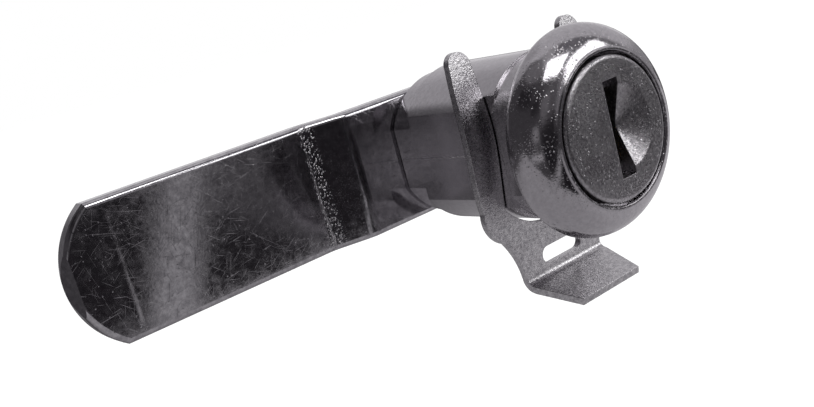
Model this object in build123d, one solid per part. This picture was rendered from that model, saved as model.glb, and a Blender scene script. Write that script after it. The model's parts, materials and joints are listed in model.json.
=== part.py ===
from build123d import *
import os
from math import cos, hypot, radians, sin, sqrt

# Cranked cam lock, quarter turn, held in its panel by a horseshoe clip.
# Millimetres. The origin is on the lock's axis, on the underside of the head,
# which is the face that rests on the front of the panel.
# The head faces -Y, +Y runs back into the cabinet, +Z is up, the cam points to -X.

# Housing: a plated zinc die-casting, a cylinder with two flats
body_dia = 19.0
flats_across = 16.0
body_length = 22.0          # underside of the head to the rear face
end_dia = 17.6              # the last stretch is turned down
end_length = 3.5
end_chamfer = 0.3
neck_dia = 18.5             # between the head and the clip groove
neck_length = 4.2
neck_chamfer = 0.4
groove_width = 3.5
groove_floor_across = 14.2  # across the floors of the two clip grooves

# Domed head
head_dia = 23.0
head_height = 4.9
widest_behind = 4.0         # from the front of the head to its widest circle
seat_dia = 21.8             # outer edge of the ring that rests on the panel
bead_width = 0.5            # raised ring round the plug's face
bead_height = 0.2
bead_slope = 0.12

# Plug: the part that the key turns
plug_gap = 0.3              # dark ring round the face
face_dia = 15.5
face_thickness = 2.4
face_proud = 0.2            # stands this far out of the head
face_round = 0.5
barrel_dia = 11.2
bore_clearance = 0.06       # radial, a running fit
plug_end_gap = 0.1          # plug stands this far out of the rear, so the cam runs free
tail_square = 7.0
tail_length = 2.3
tail_corner = 0.6

# Keyway and the half cone that guides the key into it
key_width = 2.3
key_offset = 0.3            # keyway centre, to the right of the axis
mouth_height = 10.4
mouth_depth = 1.8
key_height = 8.4
cone_dia = 9.0
cone_offset = 1.0
cone_depth = 1.6

# Quarter turn stop: a lug behind the face, in a recess of the head
turn_range = 90.0
stop_half_angle = 14.0
stop_slack = 0.5            # degrees
stop_dia = 14.6
stop_length = 1.1
stop_gap = 0.1

# Wafers
wafer_count = 7
wafer_pitch = 2.1
wafer_first = 1.0           # middle of the first one, behind the panel seat
wafer_thickness = 1.2
wafer_width = 5.0
wafer_travel = 0.6
wafer_sink = 0.05           # its ends lie this far inside the barrel with the key in
wafer_gap = 0.05
window_height = 6.4
bitting_step = 0.25
bitting = [0, 2, -1, 1, -2, 2, -1, 0, 1]
ear_width = 1.4
ear_height = 0.8
ear_bottom = 0.2
channel_gap = 0.15
key_end_wall = 0.7

# Retaining wafer, which keeps the plug in the housing
retainer_behind = 2.4       # behind the last wafer
retainer_bottom = 4.4

# Wafer springs
spring_dia = 1.1
spring_wire = 0.2
spring_turns = 3
spring_free = 2.8
spring_end_gap = 0.05

# Cam: a cranked strip of polished steel
cam_width = 15.4
cam_thickness = 2.5
cam_edge_round = 0.65       # edges rolled over by the blanking die
cam_reach = 50.0            # from the axis to the tip
cam_tip_radius = 9.3
tip_bevel = 0.85            # the tip's front corner is ground off, this far along the strip
tip_bevel_depth = 2.0
crank_start = 14.2          # from the axis to the first bend
crank_end = 19.2
crank_offset = 1.8
bend_radius = 2.2           # inside each bend
cam_hole_gap = 0.05

# Cam screw and toothed lock washer
screw_dia = 4.0
screw_hole_gap = 0.02
screw_head_dia = 8.0
screw_head_height = 2.6
screw_rim_height = 1.3
screw_length = 6.2
screw_hole_extra = 0.5
cross_width = 1.0
cross_length = 4.4
cross_depth = 1.5
washer_dia = 8.6
washer_bore = 4.4
washer_thickness = 0.6
washer_teeth = 12
tooth_gap_width = 0.7
tooth_depth = 1.0

# Horseshoe clip: spring steel strip, bowed, with a pull tab bent to the front
clip_thickness = 0.8
clip_side_gap = 0.15        # to each groove floor
clip_back_gap = 0.1         # to the rear shoulder of the groove
clip_under_gap = 0.3        # below the body
clip_bow = 1.35             # the prongs stand this far forward at mid height
clip_bow_height = 2.2
clip_tip_bow = 0.13         # and this far at their tips
clip_tip_lean = 0.12        # slope of the tips
prong_top = 11.7
prong_tip_width = 3.1
prong_waist_width = 3.95    # at mid height
prong_low_width = 3.15      # where the shoulder starts
prong_low = 6.0             # below the axis
shoulder_low = 10.2
shoulder_bulge = 0.75
shoulder_half = 8.2
neck_half = 6.35
neck_low = 15.2             # where the tab starts to bend
neck_hollow = 0.35
eye_length = 6.5
eye_height = 2.0
eye_low = 13.65
tab_length = 6.0
tab_angle = 75.0
tab_bend_inside = 0.8
tab_end_half = 4.7
tab_corner = 0.5
past = 1.0                  # how far a cutting tool runs past what it cuts
tiny = 0.001                # closer than this is the same place

# Places that follow from the sizes above
body_r = body_dia / 2
head_r = head_dia / 2
barrel_r = barrel_dia / 2
bore_r = barrel_r + bore_clearance
face_r = face_dia / 2
face_bore_r = face_r + plug_gap
face_front = -head_height - face_proud
face_back = face_front + face_thickness
plug_end = body_length + plug_end_gap
wafer_middles = [wafer_first + i * wafer_pitch for i in range(wafer_count)]
wafer_half = wafer_thickness / 2
retainer_middle = wafer_middles[-1] + retainer_behind
keyway_end = wafer_middles[-1] + wafer_half + key_end_wall
groove_back = neck_length + groove_width
groove_x = groove_floor_across / 2
prong_inside = groove_x + clip_side_gap
clip_inside_r = body_r + clip_under_gap
clip_front = groove_back - clip_back_gap - clip_thickness
cam_front = plug_end
cam_back = cam_front + cam_thickness
pocket_top = ear_bottom + ear_height + wafer_travel + 2 * wafer_gap
pocket_bottom = ear_bottom - spring_free


def rod(radius, y0, y1):
    """A round bar along the lock's axis."""
    return Pos(0, (y0 + y1) / 2, 0) * Rot(90, 0, 0) * Cylinder(radius, y1 - y0)


def block(x0, x1, y0, y1, z0, z1):
    return Pos((x0 + x1) / 2, (y0 + y1) / 2, (z0 + z1) / 2) * Box(x1 - x0, y1 - y0, z1 - z0)


def double_d(dia, y0, y1):
    """A round bar with the two flats that stop the lock turning in its hole."""
    half = flats_across / 2
    return rod(dia / 2, y0, y1) & block(-half, half, y0, y1, -dia, dia)


def sector(r0, r1, y0, y1, a0, a1):
    """Part of a ring about the axis. Angles run from +Z towards +X."""
    ring = rod(r1, y0, y1) - rod(r0, y0 - past, y1 + past)
    far = 2 * r1
    steps = 6
    arc = [radians(a0 + (a1 - a0) * i / steps) for i in range(steps + 1)]
    rim = [(far * sin(a), far * cos(a)) for a in arc]
    fan = make_face(Polyline((0, 0), *rim, close=True))
    return ring & slab(fan, y0, y1)


def slab(front_view, y0, y1):
    """A thickness of a shape drawn in front view, x to the right and z up."""
    turned = Pos(0, y1, 0) * Rot(90, 0, 0) * front_view
    return extrude(turned, y1 - y0, dir=(0, -1, 0))


def domed_head():
    front = -head_height
    widest = front + widest_behind
    crease = front + bead_height
    bead_in = face_bore_r
    bead_out = face_bore_r + bead_width
    seat_r = seat_dia / 2
    outline = Curve() + [
        Line((0, 0), (0, crease)),
        Line((0, crease), (bead_in, crease)),
        Line((bead_in, crease), (bead_in + bead_slope, front)),
        Line((bead_in + bead_slope, front), (bead_out - bead_slope, front)),
        Line((bead_out - bead_slope, front), (bead_out, crease)),
        TangentArc((head_r, widest), (bead_out, crease), tangent=(0, -1)),
        TangentArc((head_r, widest), (seat_r, 0), tangent=(0, 1)),
        Line((seat_r, 0), (0, 0)),
    ]
    return revolve(make_face(outline), Axis.Y)


def housing():
    end_start = body_length - end_length
    solid = domed_head() + double_d(neck_dia, 0, neck_length)
    solid = chamfer(solid.edges().filter_by(is_neck_root), neck_chamfer)
    solid += double_d(body_dia, neck_length, end_start)
    end = double_d(end_dia, end_start, body_length)
    solid += chamfer(end.faces().sort_by(Axis.Y)[-1].edges(), end_chamfer)
    for side in (-1, 1):
        x0, x1 = sorted((side * groove_x, side * (body_r + past)))
        solid -= block(x0, x1, neck_length, groove_back, -body_r, body_r)
    solid -= rod(face_bore_r, -head_height - past, face_back)
    solid -= rod(bore_r, face_back, body_length + past)
    # Four channels, because the key comes out at both ends of the quarter turn
    half = wafer_width / 2 + channel_gap
    depth = barrel_r + wafer_travel + channel_gap
    y0 = wafer_middles[0] - wafer_half - channel_gap
    y1 = wafer_middles[-1] + wafer_half + channel_gap
    solid -= block(-half, half, y0, y1, -depth, depth)
    solid -= block(-depth, depth, y0, y1, -half, half)
    # Ring that the retaining wafer runs in
    y0 = retainer_middle - wafer_half - channel_gap
    y1 = retainer_middle + wafer_half + channel_gap
    solid -= rod(depth, y0, y1)
    # Recess for the stop lug
    reach = stop_half_angle + stop_slack
    deep = face_back + stop_length + stop_gap
    inner = barrel_r - past
    outer = stop_dia / 2 + stop_gap
    solid -= sector(inner, outer, face_back - past, deep, -reach, turn_range + reach)
    return solid


def is_neck_root(edge):
    """Edges where the neck meets the underside of the head."""
    middle = edge.center()
    inside = hypot(middle.X, middle.Z) < neck_dia / 2 + neck_chamfer
    return abs(middle.Y) < tiny and inside


def wafer_slot(middle, z0, z1):
    half = wafer_width / 2 + wafer_gap
    thick = wafer_half + wafer_gap
    return block(-half, half, middle - thick, middle + thick, z0, z1)


def spring_pocket(middle):
    thick = wafer_half + wafer_gap
    x0 = -wafer_width / 2 - ear_width - 2 * wafer_gap
    return block(x0, 0, middle - thick, middle + thick, pocket_bottom, pocket_top)


def turned(shape, index):
    """Every second wafer is sprung the other way."""
    return Rot(0, 180 * (index % 2), 0) * shape


def plug():
    face = rod(face_r, face_front, face_back)
    rim = face.edges().group_by(Axis.Y)[0]
    solid = fillet(rim, face_round) + rod(barrel_r, face_back, plug_end)
    solid += square_bar(tail_square, plug_end, plug_end + tail_length)
    lug = (barrel_r - past, stop_dia / 2, face_back, face_back + stop_length)
    solid += sector(*lug, -stop_half_angle, stop_half_angle)
    # Keyway, with its taller mouth through the face
    x0, x1 = key_offset - key_width / 2, key_offset + key_width / 2
    tall = mouth_height / 2
    solid -= block(x0, x1, face_front - past, face_front + mouth_depth, -tall, tall)
    tall = key_height / 2
    solid -= block(x0, x1, face_front, keyway_end, -tall, tall)
    cone = Pos(cone_offset, face_front + cone_depth / 2, 0) * Rot(90, 0, 0)
    cone = cone * Cone(0, cone_dia / 2, cone_depth)
    right = block(key_offset, body_dia, face_front - past, face_front + cone_depth, -body_r, body_r)
    solid -= cone & right
    for i, middle in enumerate(wafer_middles):
        solid -= wafer_slot(middle, -body_r, body_r)
        solid -= turned(spring_pocket(middle), i)
    lowest = -retainer_bottom - wafer_travel - 2 * wafer_gap
    solid -= wafer_slot(retainer_middle, lowest, body_r)
    solid -= spring_pocket(retainer_middle)
    hole = screw_dia / 2 + screw_hole_gap
    hole_end = cam_back + washer_thickness - screw_length - screw_hole_extra
    return solid - rod(hole, hole_end, plug_end + tail_length + past)


def square_bar(size, y0, y1):
    return slab(RectangleRounded(size, size, tail_corner), y0, y1)


def wafer(index):
    middle = wafer_middles[index]
    y0, y1 = middle - wafer_half, middle + wafer_half
    half = wafer_width / 2
    plate = rod(barrel_r - wafer_sink, y0, y1) & block(-half, half, y0, y1, -body_r, body_r)
    ear = block(-half - ear_width, 0, y0, y1, ear_bottom, ear_bottom + ear_height)
    plate = turned(plate + ear, index)
    # The window's height above the middle is the bitting that the key must match
    rise = bitting[index % len(bitting)] * bitting_step
    wide = key_width / 2 + wafer_gap
    tall = window_height / 2
    window = block(key_offset - wide, key_offset + wide, y0, y1, rise - tall, rise + tall)
    return plate - window


def retaining_wafer():
    y0, y1 = retainer_middle - wafer_half, retainer_middle + wafer_half
    half = wafer_width / 2
    tall = rod(barrel_r + wafer_travel, y0, y1)
    plate = tall & block(-half, half, y0, y1, -retainer_bottom, body_r)
    return plate + block(-half - ear_width, 0, y0, y1, ear_bottom, ear_bottom + ear_height)


def spring(middle):
    coil_r = (spring_dia - spring_wire) / 2
    height = spring_free - spring_wire - 2 * spring_end_gap
    path = Helix(height / spring_turns, height, coil_r)
    wire = Plane(path @ 0, x_dir=(1, 0, 0), z_dir=path % 0) * Rectangle(spring_wire, spring_wire)
    coil = sweep(wire, path=path, is_frenet=True)
    x = -wafer_width / 2 - ear_width / 2 - wafer_gap / 2
    z = pocket_bottom + spring_end_gap + spring_wire / 2
    return Pos(x, middle, z) * coil


def wafer_spring(index):
    return turned(spring(wafer_middles[index]), index)


def cam():
    # Seen from above: root, crank, then the long outer part
    outer_front = cam_front + crank_offset
    outer_back = outer_front + cam_thickness
    far = -cam_reach - past
    strip = make_face(Polyline(
        (cam_width / 2, cam_front), (-crank_start, cam_front), (-crank_end, outer_front), (far, outer_front),
        (far, outer_back), (-crank_end, outer_back), (-crank_start, cam_back), (cam_width / 2, cam_back),
        close=True))
    strip = fillet(corners(strip, (-crank_end, outer_front), (-crank_start, cam_back)), bend_radius)
    outside = bend_radius + cam_thickness
    strip = fillet(corners(strip, (-crank_start, cam_front), (-crank_end, outer_back)), outside)
    bar = extrude(strip, cam_width / 2, both=True)
    # Seen from the front: straight sides, round root, shallow arc at the tip
    half = cam_width / 2
    tip_middle = cam_reach - cam_tip_radius
    sides_end = tip_middle + sqrt(cam_tip_radius ** 2 - half ** 2)
    outline = Curve() + [
        Line((0, half), (-sides_end, half)),
        ThreePointArc((-sides_end, half), (-cam_reach, 0), (-sides_end, -half)),
        Line((-sides_end, -half), (0, -half)),
        ThreePointArc((0, -half), (half, 0), (0, half)),
    ]
    blank = slab(make_face(outline), cam_front - past, outer_back + past)
    plate = bar & blank
    plate = fillet(plate.edges().filter_by(is_outline_edge), cam_edge_round)
    # The wedge ground off the tip's front corner, from above
    slope = tip_bevel / tip_bevel_depth
    start = -cam_reach + tip_bevel
    face = [(start - slope * deep, outer_front + deep) for deep in (-past, cam_thickness)]
    wedge = make_face(Polyline(*face, (far, outer_back), (far, outer_front - past), close=True))
    plate -= extrude(wedge, cam_width, both=True)
    hole = tail_square + 2 * cam_hole_gap
    return plate - square_bar(hole, cam_front - past, cam_back + past)


def corners(face, *places):
    """The corners of a flat outline that lie at these places."""
    return [v for v in face.vertices() if min(hypot(v.X - x, v.Y - y) for x, y in places) < tiny]


def is_outline_edge(edge):
    """Long edges of the strip, and the edges of its tip."""
    middle, along = edge @ 0.5, edge % 0.5
    on_side = abs(abs(middle.Z) - cam_width / 2) < tiny and abs(along.X) > abs(along.Y)
    at_tip = abs(middle.X + cam_reach) < tiny and abs(along.Z) > abs(along.Y)
    return on_side or at_tip


def lock_washer():
    y0, y1 = cam_back, cam_back + washer_thickness
    ring = rod(washer_dia / 2, y0, y1) - rod(washer_bore / 2, y0, y1)
    inner = washer_dia / 2 - tooth_depth
    half = tooth_gap_width / 2
    notch = block(inner, washer_dia, y0, y1, -half, half)
    for i in range(washer_teeth):
        ring -= Rot(0, 360 / washer_teeth * i, 0) * notch
    return ring


def cam_screw():
    y0 = cam_back + washer_thickness
    r = screw_head_dia / 2
    y1, y2 = y0 + screw_rim_height, y0 + screw_head_height
    outline = Curve() + [
        Line((0, y0), (r, y0)),
        Line((r, y0), (r, y1)),
        TangentArc((0, y2), (r, y1), tangent=(1, 0)),
        Line((0, y2), (0, y0)),
    ]
    head = revolve(make_face(outline), Axis.Y)
    half, arm = cross_width / 2, cross_length / 2
    floor = y2 - cross_depth
    head -= block(-arm, arm, floor, y2 + past, -half, half)
    head -= block(-half, half, floor, y2 + past, -arm, arm)
    return head + rod(screw_dia / 2, y0 - screw_length, y0)


def clip_front_view():
    """Half of the clip from the front, its right side."""
    tip_r = prong_tip_width / 2
    tip_z = prong_top - tip_r
    inside = prong_inside
    corner_z = -sqrt(clip_inside_r ** 2 - inside ** 2)
    arc_mid = (inside / 2, -sqrt(clip_inside_r ** 2 - (inside / 2) ** 2))
    low = (inside + prong_low_width, -prong_low)
    mid = (inside + prong_waist_width, (tip_z - prong_low) / 2)
    turn = (shoulder_half, -shoulder_low)
    neck = (neck_half, -neck_low)
    bulge = between(low, turn, shoulder_bulge)
    hollow = between(turn, neck, -neck_hollow)
    return Curve() + [
        ThreePointArc((inside, tip_z), (inside + tip_r, prong_top), (inside + 2 * tip_r, tip_z)),
        ThreePointArc((inside + 2 * tip_r, tip_z), mid, low),
        ThreePointArc(low, bulge, turn),
        ThreePointArc(turn, hollow, neck),
        Line(neck, (0, -neck_low)),
        Line((0, -neck_low), (0, -clip_inside_r)),
        ThreePointArc((0, -clip_inside_r), arc_mid, (inside, corner_z)),
        Line((inside, corner_z), (inside, tip_z)),
    ]


def between(a, b, out):
    """The middle of a line, moved to its right hand side by a distance."""
    dx, dy = b[0] - a[0], b[1] - a[1]
    length = hypot(dx, dy)
    return (a[0] + b[0]) / 2 - dy / length * out, (a[1] + b[1]) / 2 + dx / length * out


def clip_side_view():
    """The bowed strip and its bent tab from the side, drawn as x = -Y, y = Z."""
    t = clip_thickness
    peak = (clip_front - clip_bow, clip_bow_height)
    knee = (clip_front, -shoulder_low)
    top = (clip_front - clip_tip_bow, prong_top + past)
    low = -neck_low
    middle = (clip_front - tab_bend_inside, low)
    a = radians(-tab_angle)
    half_a = a / 2

    def on_bend(radius, angle):
        return middle[0] + radius * cos(angle), middle[1] + radius * sin(angle)

    def tab_end(radius):
        y, z = on_bend(radius, a)
        return y + tab_length * sin(a), z - tab_length * cos(a)

    def bowed(shift):
        points = [(y + shift, z) for y, z in (top, peak, knee)]
        return Spline(*points, tangents=[(-clip_tip_lean, -1), (0, -1)])

    inner, outer = tab_bend_inside, tab_bend_inside + t
    return Curve() + [
        bowed(0),
        Line(knee, (clip_front, low)),
        ThreePointArc((clip_front, low), on_bend(inner, half_a), on_bend(inner, a)),
        Line(on_bend(inner, a), tab_end(inner)),
        Line(tab_end(inner), tab_end(outer)),
        Line(tab_end(outer), on_bend(outer, a)),
        ThreePointArc(on_bend(outer, a), on_bend(outer, half_a), (clip_front + t, low)),
        Line((clip_front + t, low), (knee[0] + t, knee[1])),
        bowed(t),
        Line((top[0] + t, top[1]), top),
    ]


def horseshoe_clip():
    profile = make_face(clip_side_view())
    wide = 2 * body_dia
    strip = extrude(Plane.YZ * profile, wide / 2, both=True)
    half = make_face(clip_front_view())
    far = body_length
    flat = slab(half, -far, far) + mirror(slab(half, -far, far), Plane.YZ)
    eye = Pos(0, -eye_low) * SlotOverall(eye_length, eye_height)
    plate = strip & (flat - slab(eye, -far, far))
    # The tab from above: it tapers to its end
    y_end = clip_front - tab_bend_inside - tab_length
    y_root = clip_front + clip_thickness
    tab_view = make_face(Polyline(
        (-neck_half, y_root), (neck_half, y_root), (neck_half, clip_front - tab_bend_inside),
        (tab_end_half, y_end), (-tab_end_half, y_end), (-neck_half, clip_front - tab_bend_inside),
        close=True))
    ends = tab_view.vertices().group_by(Axis.Y)[0]
    tab_view = fillet(ends, tab_corner)
    tab = strip & Pos(0, 0, -neck_low) * extrude(tab_view, -body_dia)
    return plate + tab


def pieces():
    made = {"housing": housing(), "plug": plug()}
    for i in range(wafer_count):
        made[f"wafer_{i + 1}"] = wafer(i)
        made[f"wafer_spring_{i + 1}"] = wafer_spring(i)
    made["retaining_wafer"] = retaining_wafer()
    made["retaining_wafer_spring"] = spring(retainer_middle)
    made["cam"] = cam()
    made["lock_washer"] = lock_washer()
    made["cam_screw"] = cam_screw()
    made["horseshoe_clip"] = horseshoe_clip()
    return made


os.makedirs("parts", exist_ok=True)
for name, shape in pieces().items():
    export_step(shape, f"parts/{name}.step")
    print(name, round(shape.volume, 2))
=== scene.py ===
# %% [markdown]
# A cranked cam lock, of the kind that holds a locker or a metal cabinet door.
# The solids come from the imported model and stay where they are. This file gives
# them their finishes, adds the casting's parting line, and sets up the floor,
# the light and the camera. Every length in it is in metres.

# %% Load the fixed model
import json
from math import atan2, cos, degrees, pi, radians, sin

import bmesh
import bpy
from mathutils import Matrix, Quaternion, Vector, noise


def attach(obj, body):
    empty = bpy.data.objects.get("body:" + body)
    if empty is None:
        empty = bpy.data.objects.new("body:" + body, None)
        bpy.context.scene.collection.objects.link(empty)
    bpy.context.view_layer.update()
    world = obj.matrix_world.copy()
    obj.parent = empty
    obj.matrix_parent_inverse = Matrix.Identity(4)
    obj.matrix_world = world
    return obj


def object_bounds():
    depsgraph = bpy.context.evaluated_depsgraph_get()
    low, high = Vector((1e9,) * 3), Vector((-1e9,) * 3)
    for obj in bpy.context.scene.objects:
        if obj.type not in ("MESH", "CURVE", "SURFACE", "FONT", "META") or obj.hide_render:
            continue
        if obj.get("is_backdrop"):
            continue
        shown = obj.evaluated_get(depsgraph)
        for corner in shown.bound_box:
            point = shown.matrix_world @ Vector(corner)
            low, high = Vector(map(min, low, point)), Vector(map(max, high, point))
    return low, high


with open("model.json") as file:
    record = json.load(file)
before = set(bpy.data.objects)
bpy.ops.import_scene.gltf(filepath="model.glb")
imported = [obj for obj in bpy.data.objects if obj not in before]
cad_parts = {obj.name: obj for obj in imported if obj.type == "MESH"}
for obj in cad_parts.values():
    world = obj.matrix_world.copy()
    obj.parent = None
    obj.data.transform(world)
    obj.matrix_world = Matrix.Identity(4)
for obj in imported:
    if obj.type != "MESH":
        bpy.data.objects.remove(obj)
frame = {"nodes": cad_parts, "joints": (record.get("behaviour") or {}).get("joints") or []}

mm = 0.001
micron = 1e-6
nodes = frame["nodes"]
cad_box = [list(corner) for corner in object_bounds()]
print("box in mm", [[round(v / mm, 1) for v in corner] for corner in cad_box])

# %% [markdown]
# ## Where the camera stands
# The photograph was taken close up, so its perspective is strong: the near tip of
# the cam is large and the sides of the lock converge. A camera is found by where it
# stands and which way its picture's right and down edges run. These were fitted to
# the lock's outlines, in the model's own frame. The picture is 814 by 407 pixels.

# %% What was fitted
picture_width = 814
picture_centre = (407, 203.5)
optical_centre = (377.7, 210.7)
focal_pixels = 962.4
camera_at = Vector((-76.43, -70.90, 19.40)) * mm
picture_right = Vector((0.76437, -0.58856, -0.26330))
picture_down = Vector((-0.33629, -0.01549, -0.94163))
looks_along = Vector((0.55013, 0.80831, -0.20977))
print("camera", round(camera_at.length / mm), "mm from the lock's axis")

# %% The camera
sensor_width = 36.0
nearest_seen, farthest_seen = 1 * mm, 20.0

lens = bpy.data.cameras.new("camera")
lens.sensor_fit = "HORIZONTAL"
lens.sensor_width = sensor_width
lens.lens = focal_pixels / picture_width * sensor_width
lens.shift_x = (picture_centre[0] - optical_centre[0]) / picture_width
lens.shift_y = (optical_centre[1] - picture_centre[1]) / picture_width
lens.clip_start = nearest_seen
lens.clip_end = farthest_seen
camera = bpy.data.objects.new("camera", lens)
bpy.context.scene.collection.objects.link(camera)
turned = Matrix((picture_right, -picture_down, -looks_along)).transposed()
turned = turned.to_quaternion().to_matrix().to_4x4()
camera.matrix_world = Matrix.Translation(camera_at) @ turned
bpy.context.scene.camera = camera
print("lens", round(lens.lens, 2), "mm")

# %% [markdown]
# ## Three helpers
# Colours are written as the hex values that a paint program shows. A renderer
# works with linear light, so one function turns them. A second one adds a node
# to a material: its options, and for each input either a value or the output
# that feeds it. It gives back the output that the next node is fed by. A third
# starts an empty material.

# %% Helpers
def linear(code):
    """An sRGB hex colour as linear red, green and blue."""
    parts = [int(code[i:i + 2], 16) / 255 for i in (1, 3, 5)]
    return [c / 12.92 if c <= 0.04045 else ((c + 0.055) / 1.055) ** 2.4 for c in parts]


def add(tree, kind, inputs=(), out=0, **options):
    """Adds a node with its options, sets or links its inputs, and gives back an output."""
    node = tree.nodes.new(kind)
    for name, value in options.items():
        setattr(node, name, value)
    for key, value in dict(inputs).items():
        if isinstance(value, bpy.types.NodeSocket):
            tree.links.new(value, node.inputs[key])
        else:
            node.inputs[key].default_value = value
    return node.outputs[out] if len(node.outputs) else None


def new_material(name):
    """An empty material and its node tree."""
    material = bpy.data.materials.new(name)
    material.use_nodes = True
    material.node_tree.nodes.clear()
    return material, material.node_tree


print("mid grey #808080 is", round(linear("#808080")[0], 3), "in linear light")

# %% [markdown]
# ## A white background
# The world and the floor are white where the camera, a reflection or a glass
# looks at them. As a light they are weaker, so they fill the shadows softly and
# the floor still keeps the lock's shadow.

# %% The world
full_white = (1, 1, 1, 1)
fill_level = 0.75
world = bpy.data.worlds.new("white room")
bpy.context.scene.world = world
world.use_nodes = True
tree = world.node_tree
tree.nodes.clear()


def seen_directly(tree):
    """1 for rays from the camera and for reflected or refracted ones, 0 for light that fills."""
    camera_ray = add(tree, "ShaderNodeLightPath", out="Is Camera Ray")
    path = camera_ray.node.outputs
    pair = add(tree, "ShaderNodeMath", {0: camera_ray, 1: path["Is Glossy Ray"]}, operation="MAXIMUM")
    return add(tree, "ShaderNodeMath", {0: pair, 1: path["Is Transmission Ray"]}, operation="MAXIMUM")


fill = add(tree, "ShaderNodeBackground", {"Color": full_white, "Strength": fill_level})
white = add(tree, "ShaderNodeBackground", {"Color": full_white, "Strength": 1.0})
shader = add(tree, "ShaderNodeMixShader", {0: seen_directly(tree), 1: fill, 2: white})
add(tree, "ShaderNodeOutputWorld", {"Surface": shader})
print("fill light at", fill_level)

# %% The floor
# The lock is held by its panel. The floor lies below the clip's tab, so far that
# the clip can be pulled right off the lock above it.
floor_gap = 0.3 * mm
floor_size = 4.0
floor_white = 0.4            # how much of the light it sends back
floor_glow = 0.74            # how much it adds where it is looked at, so that it shows white
clip_travel = next(joint["range_m"][1] for joint in frame["joints"] if joint["name"] == "clip_pull")
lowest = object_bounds()[0].z
floor_z = lowest - clip_travel - floor_gap
bpy.ops.mesh.primitive_plane_add(size=floor_size, location=(0, 0, floor_z))
floor = bpy.context.object
floor.name = "floor"
material, tree = new_material("pale matt paper")
matt = add(tree, "ShaderNodeBsdfDiffuse", {"Color": (floor_white, floor_white, floor_white, 1)})
level = add(tree, "ShaderNodeMath", {0: seen_directly(tree), 1: floor_glow}, operation="MULTIPLY")
glow = add(tree, "ShaderNodeEmission", {"Color": full_white, "Strength": level})
paper = add(tree, "ShaderNodeAddShader", {0: matt, 1: glow})
add(tree, "ShaderNodeOutputMaterial", {"Surface": paper})
floor.data.materials.append(material)
floor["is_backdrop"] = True
print("floor at z", round(floor_z / mm, 2), "mm")

# %% [markdown]
# ## What the metal reflects
# Bare metal has no colour of its own to speak of: it shows its surroundings. A
# photographer puts cards round such an object. The cards here show only in
# reflections: they light nothing, cast no shadow, and the camera looks through
# them. Under the lock lies a grey table, which ends a little in front of it, and
# a dark ground goes on from there, with one pale strip across it. The rest is the
# room, a bent card that is painted in soft patches. Their places and tones were
# set to follow what the metal mirrors in the photograph. A place in the
# room is a compass bearing, from +Y towards +X, and a height above the horizon.

# %% Cards that glow as they are painted
def glowing_card(name, points, columns, tone_at):
    """A card made of rows of points, each painted by a function of where it is."""
    mesh = bpy.data.meshes.new(name)
    rows = len(points) // columns
    firsts = [j * columns + i for j in range(rows - 1) for i in range(columns - 1)]
    mesh.from_pydata(points, [], [(a, a + 1, a + 1 + columns, a + columns) for a in firsts])
    tones = mesh.color_attributes.new(name="tone", type="FLOAT_COLOR", domain="POINT")
    for point, place in zip(points, tones.data):
        place.color = (*tone_at(Vector(point)), 1)
    material, tree = new_material(name)
    tone = add(tree, "ShaderNodeAttribute", out="Color", attribute_name="tone")
    glow = add(tree, "ShaderNodeEmission", {"Color": tone})
    add(tree, "ShaderNodeOutputMaterial", {"Surface": glow})
    mesh.materials.append(material)
    card = bpy.data.objects.new(name, mesh)
    bpy.context.scene.collection.objects.link(card)
    card.visible_camera = False
    card.visible_diffuse = False
    card.visible_transmission = False
    card.visible_shadow = False
    card.visible_volume_scatter = False
    card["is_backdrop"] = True
    print(name, len(mesh.polygons), "faces")


# %% Tones and places
def ramp(value, start, width):
    """0 before the start and 1 after it, with a soft step of this width across it."""
    t = min(max((value - start) / width + 0.5, 0.0), 1.0)
    return t * t * (3 - 2 * t)


def painted_over(tone, colour, share):
    """A linear tone with this share of a hex colour over it."""
    return [a + (b - a) * share for a, b in zip(tone, linear(colour))]


def bearing_of(point):
    """The compass bearing of a point, in degrees."""
    return degrees(atan2(point.x, point.y)) % 360


def direction(bearing, height=0):
    """A unit vector towards a bearing and a height above the horizon, in degrees."""
    a, e = radians(bearing), radians(height)
    return Vector((sin(a) * cos(e), cos(a) * cos(e), sin(e)))


print("half way over a soft step:", ramp(0, 0, 1))

# %% The room
room_radius = 0.6
room_step = 3                # degrees
wall = "#49474A"
room_patches = (
    # colour, first and last bearing, lowest and highest place, and how soft its edges are
    ("#D4D2D5", (-16, 113), (5, 100), 10),       # pale ceiling and rear wall
    ("#B9B7BA", (-28, 30), (36, 66), 12),        # a greyer part of that wall
    ("#6A686B", (-44, 22), (-6, 19), 8),         # dark shelf on the left of it
    ("#F0EEF1", (8, 72), (5, 15), 6),            # bright gap low on the rear wall
    ("#A5A3A6", (72, 113), (-6, 10), 8),         # foot of the right wall
    ("#B0AEB1", (113, 205), (68, 100), 9),       # ceiling in front
    ("#7E7C7F", (205, 328), (62, 100), 12),      # ceiling on the left
    ("#77757A", (113, 150), (34, 66), 8),        # wall between the lamps
    ("#928F93", (146, 168), (-6, 32), 8),        # wall on the right
    ("#5E5C5F", (166, 184), (4, 34), 8),         # front wall, its darker half
    ("#757376", (184, 210), (15, 34), 8),        # and its lighter half
    ("#29272A", (170, 213), (-6, 9), 7),         # the camera's painted dark reflection, low in front
    ("#979598", (219, 238), (4, 15), 5),         # window
    ("#2E2C2F", (240, 296), (38, 57), 10),       # dark wall on the left
    ("#2E2C2F", (212, 240), (27, 42), 8),        # where that wall comes lower
    ("#FFFFFF", (120, 152), (1, 16), 4),         # painted light under the right lamp, as bright as white
)


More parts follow.
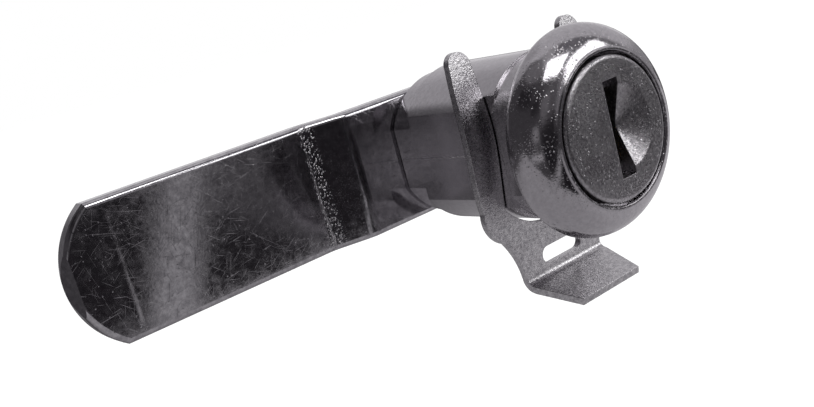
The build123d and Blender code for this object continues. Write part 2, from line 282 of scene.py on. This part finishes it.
def room_tone(point):
    """The wall's tone, with each patch painted over it in turn."""
    bearing = bearing_of(point)
    height = degrees(atan2(point.z, Vector((point.x, point.y)).length))
    tone = linear(wall)
    for colour, sides, ends, edge in room_patches:
        middle = (sides[0] + sides[1]) / 2
        aside = abs((bearing - middle + 180) % 360 - 180)
        inside = 1 - ramp(aside, (sides[1] - sides[0]) / 2, edge)
        inside *= ramp(height, ends[0], edge) * (1 - ramp(height, ends[1], edge))
        tone = painted_over(tone, colour, inside)
    return tone


room_heights = range(-6, 91, room_step)
room_bearings = range(0, 361, room_step)
room = [direction(a, e) * room_radius for e in room_heights for a in room_bearings]
glowing_card("card_room", room, len(room_bearings), room_tone)

# %% Where the table and the ground are
# The table is just below the lock's lowest point. The pulled clip goes through it,
# so a second table and ground lie under that one, just above the floor.
table_z = lowest - floor_gap
levels = {"": table_z, "_low": floor_z + floor_gap}
table_edge = -27 * mm
print("table at z", [round(z / mm, 2) for z in levels.values()], "mm")


def with_sheet(tone, colour, point, middle, radius):
    """A round sheet over the tone, whose soft edge is half its radius wide."""
    away = (Vector((point.x, point.y)) - middle).length
    return painted_over(tone, colour, 1 - ramp(away, radius, radius / 2))


# %% The table
painted_light_at, painted_light_over = 5 * mm, 30 * mm         # a painted pool of light on the right of the lock
painted_shadow_from, painted_shadow_from_over = 30 * mm, 22 * mm       # and the lock's painted shadow behind it, from here
painted_shadow_to, painted_shadow_to_over = 240 * mm, 120 * mm         # to here
paler_patch_at = Vector((-5 * mm, 92 * mm))              # a paler round patch inside that painted shadow
paler_patch_radius = 42 * mm
table_grid = 24


def table_tone(point):
    """Grey, with a painted pool of light on the right of the lock and its painted shadow behind it.
    """
    tone = linear("#A8A6A9")
    # Painted light on the right of the lock, and the lock's painted shadow behind it.
    tone = painted_over(tone, "#CFCDD0", ramp(point.x, painted_light_at, painted_light_over))
    behind = ramp(point.y, painted_shadow_from, painted_shadow_from_over)
    behind *= 1 - ramp(point.y, painted_shadow_to, painted_shadow_to_over)
    tone = painted_over(tone, "#4C4A4D", behind)
    return with_sheet(tone, "#A09EA1", point, paler_patch_at, paler_patch_radius)


# The grid is closest at the lock, where the metal shows the table in most detail.
steps = [2 * i / table_grid - 1 for i in range(table_grid + 1)]
across = [room_radius * step * abs(step) for step in steps]
depth_of_table = room_radius - table_edge
back = [table_edge + depth_of_table * (j / table_grid) ** 2 for j in range(table_grid + 1)]
for level, z in levels.items():
    table = [Vector((x, y, z)) for y in back for x in across]
    glowing_card("card_table" + level, table, len(across), table_tone)

# %% The dark ground
front_bearings = (163, 215)                        # its darkest part, straight ahead
front_edges = (5, 8)                               # how soft the two ends of that are
paper_at = Vector((-108 * mm, -75 * mm))           # a pale paper on the left
paper_radius = 40 * mm
ground_bearings = range(93, 268)
ground_rows = (0.0, 0.04, 0.08, 0.12, 0.16, 0.2, 0.3, 1.0)    # shares of the way out


def ground_tone(point):
    """Very dark straight ahead, and dark grey on both sides."""
    bearing = bearing_of(point)
    past_right, past_left = [ramp(bearing, at, edge) for at, edge in zip(front_bearings, front_edges)]
    tone = painted_over(linear("#504E51"), "#4A484B", past_left)
    tone = painted_over(tone, "#262427", past_right * (1 - past_left))
    return with_sheet(tone, "#C0BEC1", point, paper_at, paper_radius)


ground = []
for share in ground_rows:
    for bearing in ground_bearings:
        near = min(table_edge / cos(radians(bearing)), room_radius)
        reach = near + (room_radius - near) * share
        ground.append(direction(bearing) * reach)
for level, z in levels.items():
    placed = [point + Vector((0, 0, z)) for point in ground]
    glowing_card("card_ground" + level, placed, len(ground_bearings), ground_tone)

# %% The pale strip
strip_bearing = 154.8
strip_lift = 0.1 * mm                # above the ground
strip_start = Vector((-21.7 * mm, table_edge, table_z + strip_lift))
strip_reach = 0.55
strip_widths = (7 * mm, 20 * mm)     # at its near and far end
strip_soft = 0.6                     # how far its faded edges reach beside its half width
strip_tones = ("#4A484B", "#A6A4A7", "#A6A4A7", "#3A383B")

along = direction(strip_bearing)
sideways = Vector((along.y, -along.x, 0))
places = (1 + strip_soft, 1 - strip_soft / 2, strip_soft / 2 - 1, -1 - strip_soft)
strip, strip_paint = [], []
for share in (0.0, 1.0):
    middle = strip_start + along * strip_reach * share
    half = (strip_widths[0] + (strip_widths[1] - strip_widths[0]) * share) / 2
    for place, tone in zip(places, strip_tones):
        strip.append(middle - sideways * half * place)
        strip_paint.append((strip[-1], linear(tone)))


def strip_tone(point):
    """The tone of the strip's corner that is at this point."""
    return min(strip_paint, key=lambda spot: (spot[0] - point).length)[1]


glowing_card("card_strip", strip, len(places), strip_tone)

# %% [markdown]
# ## The lamps
# Two softboxes give the white patches on the dome. A lamp in Blender has an energy
# in watts, but what the metal mirrors is how bright its face is. So each lamp is
# described by that, and by how large it looks from the lock, and the watts follow.

# %% Softboxes
lamp_distance = 0.45


def softbox(name, bearing, height, wide, tall, radiance, roll):
    """An area lamp that faces the lock, so many degrees wide and tall as seen from there."""
    towards = direction(bearing, height)
    lamp = bpy.data.lights.new(name, "AREA")
    lamp.shape = "RECTANGLE"
    lamp.size = lamp_distance * radians(wide)
    lamp.size_y = lamp_distance * radians(tall)
    lamp.energy = radiance * lamp.size * lamp.size_y * pi
    box = bpy.data.objects.new(name, lamp)
    bpy.context.scene.collection.objects.link(box)
    box.location = towards * lamp_distance
    box.rotation_mode = "QUATERNION"
    rolled = Quaternion((0, 0, 1), radians(roll))
    box.rotation_quaternion = towards.to_track_quat("Z", "Y") @ rolled
    box.visible_camera = False
    print(name, round(lamp.energy, 3), "watts")


softbox("softbox_high", bearing=172, height=52, wide=33, tall=20, radiance=5.0, roll=-48)
softbox("softbox_right", bearing=139, height=24, wide=33, tall=17, radiance=3.4, roll=0)

# %% [markdown]
# ## Patterns in the metal
# Each finish is a metal with a roughness and a height pattern. The patterns are
# made from noise in the model's own coordinates, so their scale is a real size:
# a noise whose scale is 1 / 0.2 mm has grains 0.2 mm across. The pictures show
# about 9 pixels to a millimetre, so a mark narrower than 0.1 mm is drawn that wide.

# %% Pattern makers
scratch_edge = 0.1           # how fast a scratch comes up out of the noise


def specks(tree, where, spacing, radius, share):
    """Small round marks, scattered at random. About this share of the places has one."""
    cells = {"Vector": where, "Scale": 1 / spacing}
    distance = add(tree, "ShaderNodeTexVoronoi", cells, out="Distance")
    dot = {0: distance, 1: radius / spacing, 2: 0.0}
    dot = add(tree, "ShaderNodeMapRange", dot, interpolation_type="SMOOTHSTEP")
    chance = add(tree, "ShaderNodeSeparateColor", {0: distance.node.outputs["Color"]})
    kept = add(tree, "ShaderNodeMath", {0: chance, 1: share}, operation="LESS_THAN")
    return add(tree, "ShaderNodeMath", {0: dot, 1: kept}, operation="MULTIPLY")


def scratches(tree, where, length, width, angles, threshold):
    """Fine straight marks in several directions, in the plane that faces the front."""
    found = 0.0
    for angle in angles:
        placed = add(tree, "ShaderNodeMapping", {"Vector": where, "Rotation": (0, radians(angle), 0)})
        squeeze = (1 / length, 1 / width, 1 / width)
        placed = add(tree, "ShaderNodeMapping", {"Vector": placed, "Scale": squeeze})
        streak = add(tree, "ShaderNodeTexNoise", {"Vector": placed, "Scale": 1.0, "Detail": 0.0})
        mark = add(tree, "ShaderNodeMapRange", {0: streak, 1: threshold, 2: threshold + scratch_edge})
        found = add(tree, "ShaderNodeMath", {0: mark, 1: found}, operation="MAXIMUM")
    return found


def near_line(tree, place, at, reach):
    """1 on a line across the strip and 0 this far from it."""
    beside = add(tree, "ShaderNodeMath", {0: place, 1: at}, operation="SUBTRACT")
    away = add(tree, "ShaderNodeMath", {0: beside}, operation="ABSOLUTE")
    fade = {0: away, 1: reach, 2: 0.0}
    return add(tree, "ShaderNodeMapRange", fade, interpolation_type="SMOOTHSTEP")


def stained(tree, where, pale, dark, size):
    """A colour that wanders between two, in clouds and in fine grain."""
    cloud = {"Vector": where, "Scale": 1 / size, "Detail": 5.0, "Roughness": 0.7}
    cloud = add(tree, "ShaderNodeTexNoise", cloud)
    share = add(tree, "ShaderNodeMapRange", {0: cloud, 1: 0.35, 2: 0.65})
    colours = {0: share, 6: (*linear(pale), 1), 7: (*linear(dark), 1)}
    return add(tree, "ShaderNodeMix", colours, out=2, data_type="RGBA")


pixels_per_mm = 9
print("one pixel of the picture is about", round(1 / pixels_per_mm, 2), "mm")

# %% Giving a piece its finish
def paint(material, *names):
    """Gives these CAD nodes this finish."""
    for name in names:
        slots = nodes[name].material_slots
        if len(slots) == 0:
            nodes[name].data.materials.append(material)
        for slot in slots:
            slot.link = "OBJECT"
            slot.material = material
    print(material.name, "on", len(names), "pieces")


# %% [markdown]
# ## Chrome on a zinc casting
# The housing is die-cast zinc with bright chrome. Chrome is nearly a mirror, but the
# casting under it isn't perfect. On the dome, gas pores and plated nibs show as dots
# wherever the reflection changes, and a faint orange peel makes edges of reflections
# wander. The body behind it was hardly polished, so it is duller and has no nibs.

# %% Bright chrome: the skin
dome_end = 0.4 * mm                       # either side of y = 0, where the dome gives way
chrome_edge = 0.15 * mm
peel_size, peel_depth = 1.6 * mm, 22 * micron
body_peel = 0.14                          # the body's share of the dome's orange peel
skin_size, skin_depth = 0.24 * mm, 5 * micron

material, tree = new_material("bright chrome on die-cast zinc")
where = add(tree, "ShaderNodeTexCoord", out="Object")
depth = add(tree, "ShaderNodeSeparateXYZ", {0: where}, out="Y")
on_dome = add(tree, "ShaderNodeMapRange", {0: depth, 1: dome_end, 2: -dome_end})
normal = add(tree, "ShaderNodeBevel", {"Radius": chrome_edge}, samples=4)
peel = add(tree, "ShaderNodeTexNoise", {"Vector": where, "Scale": 1 / peel_size, "Detail": 2.0})
peel_share = add(tree, "ShaderNodeMapRange", {0: on_dome, 3: body_peel, 4: 1.0})
peel = add(tree, "ShaderNodeMath", {0: peel, 1: peel_share}, operation="MULTIPLY")
normal = add(tree, "ShaderNodeBump", {"Height": peel, "Distance": peel_depth, "Normal": normal})
skin = add(tree, "ShaderNodeTexNoise", {"Vector": where, "Scale": 1 / skin_size, "Detail": 2.0})
normal = add(tree, "ShaderNodeBump", {"Height": skin, "Distance": skin_depth, "Normal": normal})
print("orange peel", round(peel_size / mm, 2), "mm across on", material.name)

# %% Bright chrome: dots on the dome
crowd_size = 2.6 * mm                     # the dots come in crowds this large
crowd = add(tree, "ShaderNodeTexNoise", {"Vector": where, "Scale": 1 / crowd_size, "Detail": 2.0})
crowd = add(tree, "ShaderNodeMapRange", {0: crowd, 1: 0.35, 2: 0.7, 3: 0.1, 4: 0.85})
dome_dots = (
    # spacing, radius, share of the places, and height
    (0.34 * mm, 0.11 * mm, crowd, 28 * micron),      # plated nibs
    (0.2 * mm, 0.08 * mm, crowd, 16 * micron),       # grit
    (0.8 * mm, 0.14 * mm, 0.35, -40 * micron),       # gas pores
)
for spacing, radius, share, height in dome_dots:
    dots = specks(tree, where, spacing, radius, share)
    dots = add(tree, "ShaderNodeMath", {0: dots, 1: on_dome}, operation="MULTIPLY")
    normal = add(tree, "ShaderNodeBump", {"Height": dots, "Distance": height, "Normal": normal})
print(len(dome_dots), "kinds of dots")

# %% Bright chrome: haze and colour
haze_size = 4.5 * mm
haze_least, haze_most = 0.1, 0.18         # roughness
body_haze = 0.04                          # and what the body has on top of that
chrome_stain = 0.5 * mm

haze = add(tree, "ShaderNodeTexNoise", {"Vector": where, "Scale": 1 / haze_size, "Detail": 4.0})
haze = add(tree, "ShaderNodeMapRange", {0: haze, 1: 0.35, 2: 0.7, 3: haze_least, 4: haze_most})
duller = add(tree, "ShaderNodeMapRange", {0: on_dome, 3: body_haze, 4: 0.0})
haze = add(tree, "ShaderNodeMath", {0: haze, 1: duller}, operation="ADD")
colour = stained(tree, where, "#BAB7BB", "#ABA8AC", chrome_stain)
chrome = {"Base Color": colour, "Metallic": 1.0, "Roughness": haze, "Normal": normal}
chrome = add(tree, "ShaderNodeBsdfPrincipled", chrome)
add(tree, "ShaderNodeOutputMaterial", {"Surface": chrome})
paint(material, "housing")

# %% [markdown]
# ## Satin nickel on the plug
# The plug's face is cast too, but it was bead blasted before plating. Thousands of
# tiny dents scatter the light, so it looks grey and grainy from every side.

# %% Satin nickel
plug_edge = 0.14 * mm
dent_size, dent_depth = 0.13 * mm, 28 * micron
grain_spacing, grain_radius, grain_depth = 0.32 * mm, 0.12 * mm, 30 * micron
grain_share = 0.4
wear_size = 3 * mm
wear_least, wear_most = 0.24, 0.32        # roughness
nickel_stain = 0.3 * mm

material, tree = new_material("bead-blasted satin nickel")
where = add(tree, "ShaderNodeTexCoord", out="Object")
normal = add(tree, "ShaderNodeBevel", {"Radius": plug_edge}, samples=4)
dents = add(tree, "ShaderNodeTexNoise", {"Vector": where, "Scale": 1 / dent_size, "Detail": 1.0})
normal = add(tree, "ShaderNodeBump", {"Height": dents, "Distance": dent_depth, "Normal": normal})
grains = specks(tree, where, grain_spacing, grain_radius, grain_share)
normal = add(tree, "ShaderNodeBump", {"Height": grains, "Distance": grain_depth, "Normal": normal})
wear = add(tree, "ShaderNodeTexNoise", {"Vector": where, "Scale": 1 / wear_size, "Detail": 3.0})
wear = add(tree, "ShaderNodeMapRange", {0: wear, 1: 0.3, 2: 0.7, 3: wear_least, 4: wear_most})
colour = stained(tree, where, "#BFBCBF", "#7E7C80", nickel_stain)
nickel = {"Base Color": colour, "Metallic": 1.0, "Roughness": wear, "Normal": normal}
nickel = add(tree, "ShaderNodeBsdfPrincipled", nickel)
add(tree, "ShaderNodeOutputMaterial", {"Surface": nickel})
paint(material, "plug")

# %% [markdown]
# ## Polished steel on the cam
# The cam is cold rolled steel strip, cut, bent twice and barrel polished. The
# barrel leaves fine scratches in every direction. The punch that bent it printed a
# rough line into the hollow of the outer bend, and the stop of the press left a
# faint crease near the tip. By what it mirrors, the cam leans back a little.

# %% Polished steel: where its marks are
punch_at, punch_reach = -18.8 * mm, 1.3 * mm
# Beside the punch line, the pits get painted shade: dark dots in the colour.
pit_shade_at, pit_shade_reach = -20.1 * mm, 1.2 * mm
crease_at, crease_reach = -44.25 * mm, 0.55 * mm
crease_half = 6.4 * mm                    # it ends this far above and below the middle
crease_fade = 1 * mm

material, tree = new_material("barrel-polished steel strip")
where = add(tree, "ShaderNodeTexCoord", out="Object")
along = add(tree, "ShaderNodeSeparateXYZ", {0: where}, out="X")
upward = along.node.outputs["Z"]
aside = add(tree, "ShaderNodeMath", {0: upward}, operation="ABSOLUTE")
inside = add(tree, "ShaderNodeMapRange", {0: aside, 1: crease_half, 2: crease_half - crease_fade})
crease = near_line(tree, along, crease_at, crease_reach)
crease = add(tree, "ShaderNodeMath", {0: crease, 1: inside}, operation="MULTIPLY")
punched = near_line(tree, along, punch_at, punch_reach)
pit_shade_line = near_line(tree, along, pit_shade_at, pit_shade_reach)
print("punch line at x", round(punch_at / mm, 1), "mm, crease at", round(crease_at / mm, 2), "mm")

# %% Polished steel: its patterns
scratch_length, scratch_width = 2.6 * mm, 0.07 * mm
scratch_angles = (8, 37, 71, 104, 139, 163)
scratch_threshold = 0.78                  # the higher, the fewer
dot_spacing, dot_radius, dot_share = 0.55 * mm, 0.11 * mm, 0.4
cloud_size = 1.5 * mm
cloud_least, cloud_most = 0.07, 0.18      # roughness
pit_spacing, pit_radius, pit_share = 0.24 * mm, 0.13 * mm, 0.6
burr_radius, burr_share = 0.11 * mm, 0.8
mottle_size = 0.3 * mm

marks = scratches(tree, where, scratch_length, scratch_width, scratch_angles, scratch_threshold)
specky = specks(tree, where, dot_spacing, dot_radius, dot_share)
cloud = {"Vector": where, "Scale": 1 / cloud_size, "Detail": 7.0, "Roughness": 0.75}
cloud = add(tree, "ShaderNodeTexNoise", cloud)
cloudy = add(tree, "ShaderNodeMapRange", {0: cloud, 1: 0.4, 2: 0.68, 3: cloud_least, 4: cloud_most})
pit_shade = specks(tree, where, pit_spacing, pit_radius, pit_share)
pit_shade = add(tree, "ShaderNodeMath", {0: pit_shade, 1: pit_shade_line}, operation="MULTIPLY")
burrs = specks(tree, where, pit_spacing, burr_radius, burr_share)
burrs = add(tree, "ShaderNodeMath", {0: burrs, 1: punched}, operation="MULTIPLY")
mottle = add(tree, "ShaderNodeTexNoise", {"Vector": where, "Scale": 1 / mottle_size, "Detail": 3.0})
print(len(scratch_angles), "directions of scratches")

# %% Polished steel: relief, roughness and colour
lean = 0.026                              # a slope of 1.5 degrees
scratch_dullness = 0.08
steel_stain = 0.7 * mm
steel_relief = (
    # pattern, and its height
    (mottle, 2.5 * micron), (marks, -2.4 * micron), (specky, 9 * micron),
    (crease, 9 * micron), (burrs, 80 * micron))

normal = add(tree, "ShaderNodeBump", {"Height": upward, "Distance": -lean})
for pattern, height in steel_relief:
    normal = add(tree, "ShaderNodeBump", {"Height": pattern, "Distance": height, "Normal": normal})
scuffed = add(tree, "ShaderNodeMath", {0: marks, 1: scratch_dullness}, operation="MULTIPLY")
dull = add(tree, "ShaderNodeMath", {0: cloudy, 1: scuffed}, operation="ADD")
colour = stained(tree, where, "#C8C6C9", "#A4A2A6", steel_stain)
# Painted shade in the pits: dark dots mixed into the colour.
colour = {0: pit_shade, 6: colour, 7: (*linear("#2C2A2D"), 1)}
colour = add(tree, "ShaderNodeMix", colour, out=2, data_type="RGBA")
steel = {"Base Color": colour, "Metallic": 1.0, "Roughness": dull, "Normal": normal}
steel = add(tree, "ShaderNodeBsdfPrincipled", steel)
add(tree, "ShaderNodeOutputMaterial", {"Surface": steel})
paint(material, "cam")

# %% [markdown]
# ## Zinc on the spring clip
# The horseshoe clip is hardened spring steel with a thin barrel-plated zinc coat.
# Zinc plate over the scale of hardened steel is grainy and a little sparkling.

# %% Zinc-plated spring steel
clip_edge = 0.16 * mm
scale_size, scale_depth = 0.34 * mm, 36 * micron
crystal_size = 0.17 * mm
fine_size, fine_depth = 0.12 * mm, 19 * micron
crystal_least, crystal_most = 0.16, 0.34  # roughness
zinc_stain = 0.35 * mm

material, tree = new_material("zinc-plated spring steel")
where = add(tree, "ShaderNodeTexCoord", out="Object")
normal = add(tree, "ShaderNodeBevel", {"Radius": clip_edge}, samples=4)
scale = {"Vector": where, "Scale": 1 / scale_size, "Detail": 3.0, "Roughness": 0.7}
scale = add(tree, "ShaderNodeTexNoise", scale)
normal = add(tree, "ShaderNodeBump", {"Height": scale, "Distance": scale_depth, "Normal": normal})
crystal = {"Vector": where, "Scale": 1 / crystal_size}
crystal = add(tree, "ShaderNodeTexVoronoi", crystal, out="Color")
facets = add(tree, "ShaderNodeSeparateColor", {0: crystal})
fine = add(tree, "ShaderNodeTexNoise", {"Vector": where, "Scale": 1 / fine_size, "Detail": 1.0})
normal = add(tree, "ShaderNodeBump", {"Height": fine, "Distance": fine_depth, "Normal": normal})
dull = add(tree, "ShaderNodeMapRange", {0: facets, 3: crystal_least, 4: crystal_most})
colour = stained(tree, where, "#D2D0D2", "#9C9A9E", zinc_stain)
zinc = {"Base Color": colour, "Metallic": 1.0, "Roughness": dull, "Normal": normal}
zinc = add(tree, "ShaderNodeBsdfPrincipled", zinc)
add(tree, "ShaderNodeOutputMaterial", {"Surface": zinc})
paint(material, "horseshoe_clip")

# %% [markdown]
# ## Brass, screw steel and spring wire
# The wafers are stamped from brass strip, which stays bare. The screw and its
# toothed washer are ordinary zinc-plated steel, and the springs are bright wire.

# %% The small parts
def plain_metal(name, pale, dark, roughness, size, depth):
    """A metal with one even grain, this large and this deep."""
    material, tree = new_material(name)
    where = add(tree, "ShaderNodeTexCoord", out="Object")
    grain = add(tree, "ShaderNodeTexNoise", {"Vector": where, "Scale": 1 / size, "Detail": 2.0})
    cloud = add(tree, "ShaderNodeTexNoise", {"Vector": where, "Scale": 0.1 / size, "Detail": 3.0})
    least, most = roughness * 0.8, roughness * 1.3
    dull = add(tree, "ShaderNodeMapRange", {0: cloud, 1: 0.3, 2: 0.7, 3: least, 4: most})
    colour = stained(tree, where, pale, dark, 8 * size)
    normal = add(tree, "ShaderNodeBump", {"Height": grain, "Distance": depth})
    metal = {"Base Color": colour, "Metallic": 1.0, "Roughness": dull, "Normal": normal}
    metal = add(tree, "ShaderNodeBsdfPrincipled", metal)
    add(tree, "ShaderNodeOutputMaterial", {"Surface": metal})
    return material


brass = plain_metal("stamped brass", "#D2B068", "#B8934C", 0.26, 0.15 * mm, 8 * micron)
wire = plain_metal("bright spring wire", "#C2C1C1", "#ABAAAB", 0.2, 0.1 * mm, 2 * micron)
screw_steel = plain_metal(
    "zinc-plated screw steel", "#C0C0C4", "#A5A5AA", 0.24, 0.14 * mm, 12 * micron)

wafers = [name for name in nodes if name.startswith("wafer_") and "spring" not in name]
springs = [name for name in nodes if "spring" in name]
paint(brass, *wafers, "retaining_wafer")
paint(wire, *springs)
paint(screw_steel, "cam_screw", "lock_washer")

# %% [markdown]
# ## The parting line
# A zinc casting comes out of a steel die in two halves, and where they met it has a
# fine seam. On a polished dome the seam is gone, but along the flats it stays: a
# low, uneven ridge, plated over. Each flat gets one, from the clip's groove to the rear.

# %% What a parting line is like
seam_width, seam_height = 0.16 * mm, 0.05 * mm
seam_sink = 0.02 * mm                     # how deep its edges go into the flat
seam_step = 0.25 * mm
seam_from, seam_to = 7.9 * mm, 21.5 * mm
flat_at = 8.0 * mm                        # the flats are this far from the axis
fade_at, fade_over = 15 * mm, 6 * mm      # the seam fades towards the rear
fade_share = 0.75
wander_length, wander_width = 1.1 * mm, 0.12 * mm
uneven_length = 0.4 * mm
uneven_row = 3                            # another part of the noise than the wander's
seam_metal = plain_metal(
    "unpolished chrome on the seam", "#D0CDD0", "#98969A", 0.3, 0.12 * mm, 20 * micron)
print("seam", round((seam_to - seam_from) / mm, 1), "mm long")


# %% Parting lines
def parting_line(name, side):
    """A low ridge of three-cornered sections along one flat: side is -1 or 1."""
    shape = bmesh.new()
    count = round((seam_to - seam_from) / seam_step)
    rows = []
    for i in range(count + 1):
        y = seam_from + (seam_to - seam_from) * i / count
        rough = 1 - fade_share * ramp(y, fade_at, fade_over)
        wander = noise.noise(Vector((y / wander_length, side, 0))) * wander_width * rough
        uneven = noise.noise(Vector((y / uneven_length, uneven_row, side)))
        tall = seam_height * rough * (1 + uneven)
        end = min(i, count - i, 1)        # 0 at both ends, where the ridge runs out
        points = [(-seam_sink, -seam_width / 2), (tall * end, 0.0), (-seam_sink, seam_width / 2)]
        rows.append([shape.verts.new((side * (flat_at + out), y, wander + z)) for out, z in points])
    for a, b in zip(rows, rows[1:]):
        for i in range(3):
            j = (i + 1) % 3
            shape.faces.new((a[i], a[j], b[j], b[i]))
    shape.faces.new(rows[0])
    shape.faces.new(rows[-1])
    bmesh.ops.recalc_face_normals(shape, faces=shape.faces)
    mesh = bpy.data.meshes.new(name)
    shape.to_mesh(mesh)
    shape.free()
    seam = bpy.data.objects.new(name, mesh)
    bpy.context.scene.collection.objects.link(seam)
    mesh.materials.append(seam_metal)
    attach(seam, "lock_body")
    print(name, len(mesh.polygons), "faces")


parting_line("parting_line_left", -1)
parting_line("parting_line_right", 1)

# %% Colours as written
settings = bpy.context.scene.view_settings
settings.view_transform = "Standard"
print("view transform", settings.view_transform)

# %% Sizes before and after the scene's pieces
sizes = {"cad": cad_box, "visual": [list(corner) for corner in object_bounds()]}
corners = zip(sizes["cad"], sizes["visual"])
print("grown by mm", [[round((b - a) / mm, 2) for a, b in zip(*pair)] for pair in corners])
